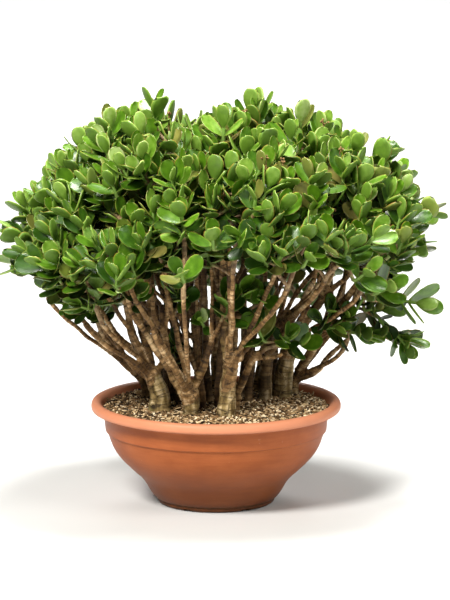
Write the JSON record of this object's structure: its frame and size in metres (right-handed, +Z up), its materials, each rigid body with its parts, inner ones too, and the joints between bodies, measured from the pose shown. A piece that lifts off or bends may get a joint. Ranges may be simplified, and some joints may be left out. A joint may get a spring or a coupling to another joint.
{
  "type": "potted jade bonsai",
  "caption": "Dense clump of jade plants with bare branching trunks and thick oval leaves, growing in soil in a round terracotta-coloured bowl.",
  "frame": {"origin": "centre of the bowl's flat underside, on the surface it stands on", "axes": "+Z up; +X along the crown's widest direction, to the right seen from the front; -Y is the front"},
  "size_m": [0.7972, 0.7466, 0.7549],
  "materials": {
    "bowl": "satin",
    "soil": "matte",
    "bark": "matte",
    "leaf": "satin"
  },
  "bodies": {
    "root": {"bowl": "bowl", "soil": "soil", "wood_left": "bark", "wood_left_back": "bark", "wood_stump": "bark", "wood_slim_left": "bark", "wood_slim_right": "bark", "wood_centre": "bark", "wood_leaning": "bark", "wood_right_mid": "bark", "wood_right": "bark", "wood_right_back": "bark", "wood_back_left": "bark", "wood_back": "bark", "wood_back_right": "bark", "wood_inner_left": "bark", "wood_inner_back": "bark", "spray_left_1": "leaf", "spray_left_2": "leaf", "spray_left_back_1": "leaf", "spray_left_back_2": "leaf", "spray_stump_1": "leaf", "spray_stump_2": "leaf", "spray_slim_left_1": "leaf", "spray_slim_right_1": "leaf", "spray_slim_right_2": "leaf", "spray_centre_1": "leaf", "spray_centre_2": "leaf", "spray_leaning_1": "leaf", "spray_right_mid_1": "leaf", "spray_right_mid_2": "leaf", "spray_right_1": "leaf", "spray_right_2": "leaf", "spray_right_back_1": "leaf", "spray_right_back_2": "leaf", "spray_right_back_3": "leaf", "spray_right_back_4": "leaf", "spray_back_left_1": "leaf", "spray_back_left_2": "leaf", "spray_back_left_3": "leaf", "spray_back_1": "leaf", "spray_back_2": "leaf", "spray_back_3": "leaf", "spray_back_right_1": "leaf", "spray_back_right_2": "leaf", "spray_inner_left_1": "leaf", "spray_inner_left_2": "leaf", "spray_inner_back_1": "leaf", "spray_inner_back_2": "leaf"}
  },
  "joints": []
}
